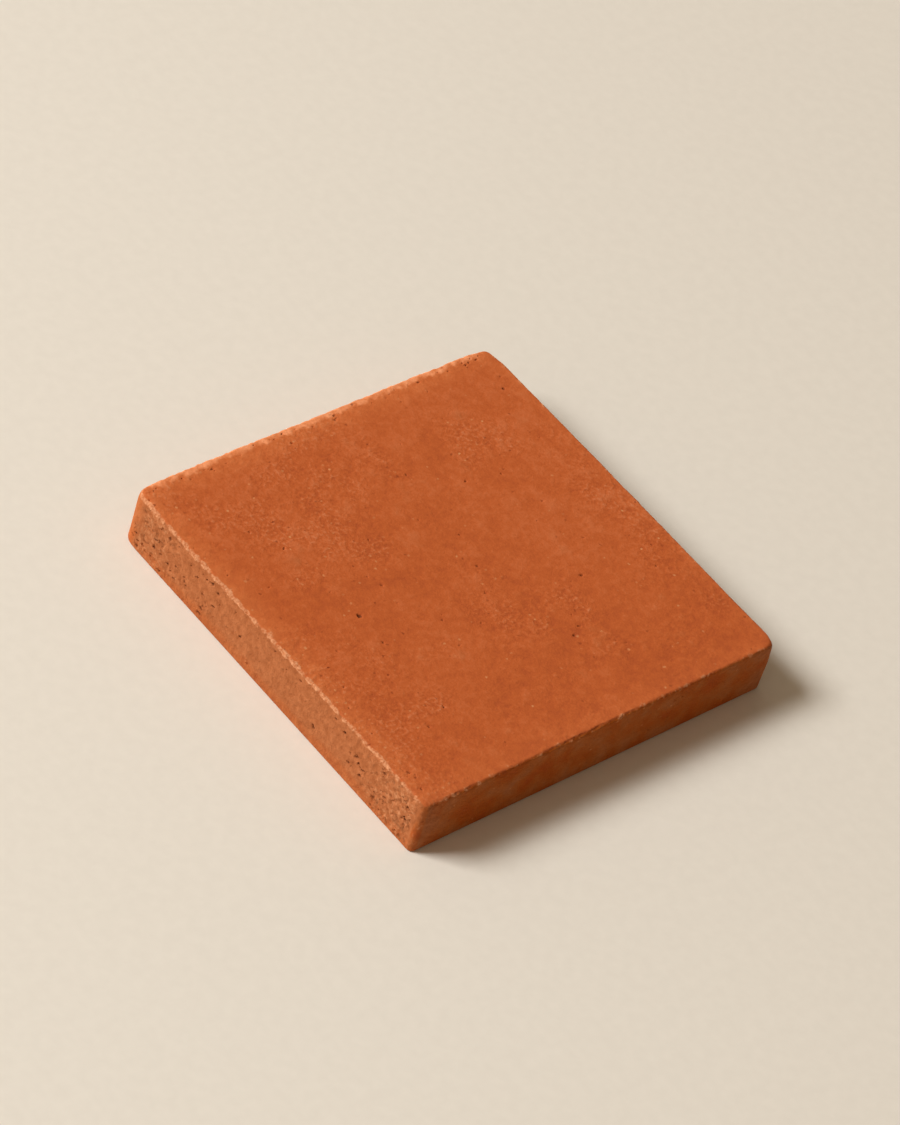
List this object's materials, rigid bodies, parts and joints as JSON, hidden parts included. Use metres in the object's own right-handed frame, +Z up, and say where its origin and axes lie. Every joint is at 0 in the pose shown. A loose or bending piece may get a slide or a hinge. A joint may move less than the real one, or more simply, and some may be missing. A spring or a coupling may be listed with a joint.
{
  "type": "terracotta floor tile",
  "caption": "Square slab of unglazed fired clay with rounded corners and eased arrises, laid on a mortar bed beside its neighbours to pave a floor.",
  "frame": {"origin": "middle of the underside, on the plane that the tile lies on", "axes": "+Z up through the walking face; X and Y along the two pairs of edges"},
  "size_m": [0.14, 0.14, 0.02],
  "materials": {
    "terracotta": "unglazed fired clay, matt, mottled burnt orange with fine pores and worn arrises"
  },
  "bodies": {
    "root": {"floor_tile": "terracotta"}
  },
  "joints": []
}
